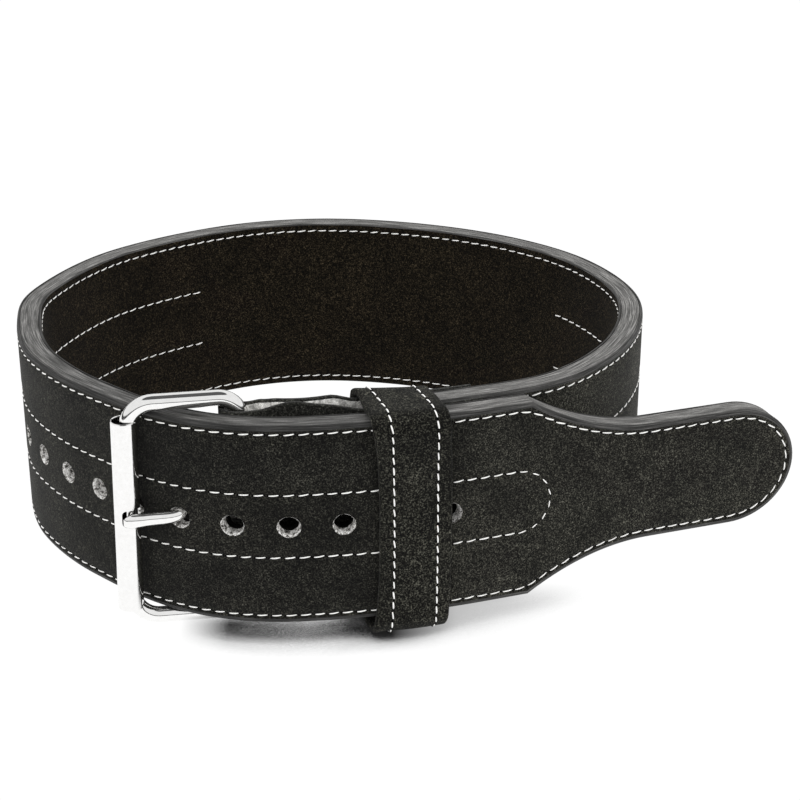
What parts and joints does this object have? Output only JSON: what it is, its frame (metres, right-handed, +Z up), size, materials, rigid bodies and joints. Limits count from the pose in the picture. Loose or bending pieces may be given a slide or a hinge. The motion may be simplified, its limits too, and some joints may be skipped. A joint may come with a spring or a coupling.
{
  "type": "weightlifting belt",
  "caption": "Wide layered leather lifting belt with suede faces, roller buckle, keeper loop, punched holes and a narrow tongue, buckled in a ring and lying on its edge.",
  "frame": {"origin": "centre of the belt's box, on the surface it stands on", "axes": "+X along the front towards the tongue's tip, +Y from the buckle to the back, +Z up, the strap on its edge"},
  "size_m": [0.4008, 0.316, 0.123],
  "materials": {
    "outer_suede": "napped suede",
    "inner_suede": "napped suede",
    "core_leather": "burnished edge",
    "chape_suede": "napped suede",
    "keeper_suede": "napped suede",
    "nickel": "polished nickel plate"
  },
  "bodies": {
    "root": {"inner_suede": "inner_suede", "core_inner": "core_leather", "core_outer": "core_leather", "outer_suede": "outer_suede", "chape": "chape_suede", "keeper": "keeper_suede", "buckle_frame": "nickel", "roller": "nickel", "prong": "nickel"}
  },
  "joints": []
}
